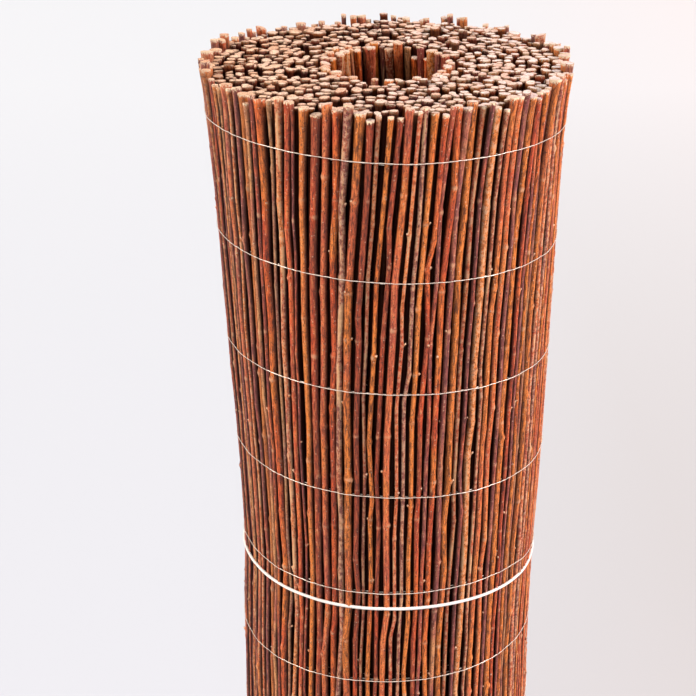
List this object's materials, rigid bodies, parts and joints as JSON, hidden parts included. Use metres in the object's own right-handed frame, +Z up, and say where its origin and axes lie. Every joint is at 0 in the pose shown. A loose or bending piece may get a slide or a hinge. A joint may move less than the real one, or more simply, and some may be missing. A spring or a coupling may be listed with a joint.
{
  "type": "willow screening roll",
  "caption": "Roll of willow rod screening bound with rows of wire, standing on end and tied round its waist with a cord.",
  "frame": {"origin": "on the axis of the roll's open middle, at the floor that the roll stands on", "axes": "+Z up along the roll, +Y towards the back, where both ends of the mat and the knot are"},
  "size_m": [0.3148, 0.3209, 1],
  "materials": {
    "willow_bark": "dry bark, satin",
    "galvanised_wire": "bright galvanised",
    "white_cord": "matt"
  },
  "bodies": {
    "root": {"back_wire_01": "galvanised_wire", "back_wire_02": "galvanised_wire", "back_wire_03": "galvanised_wire", "back_wire_04": "galvanised_wire", "back_wire_05": "galvanised_wire", "back_wire_06": "galvanised_wire", "back_wire_07": "galvanised_wire", "back_wire_08": "galvanised_wire", "back_wire_09": "galvanised_wire", "back_wire_10": "galvanised_wire", "front_wire_01": "galvanised_wire", "front_wire_02": "galvanised_wire", "front_wire_03": "galvanised_wire", "front_wire_04": "galvanised_wire", "front_wire_05": "galvanised_wire", "front_wire_06": "galvanised_wire", "front_wire_07": "galvanised_wire", "front_wire_08": "galvanised_wire", "front_wire_09": "galvanised_wire", "front_wire_10": "galvanised_wire", "inner_turns": "willow_bark", "outer_turn_rods": "willow_bark", "tie_cord": "white_cord"}
  },
  "joints": []
}
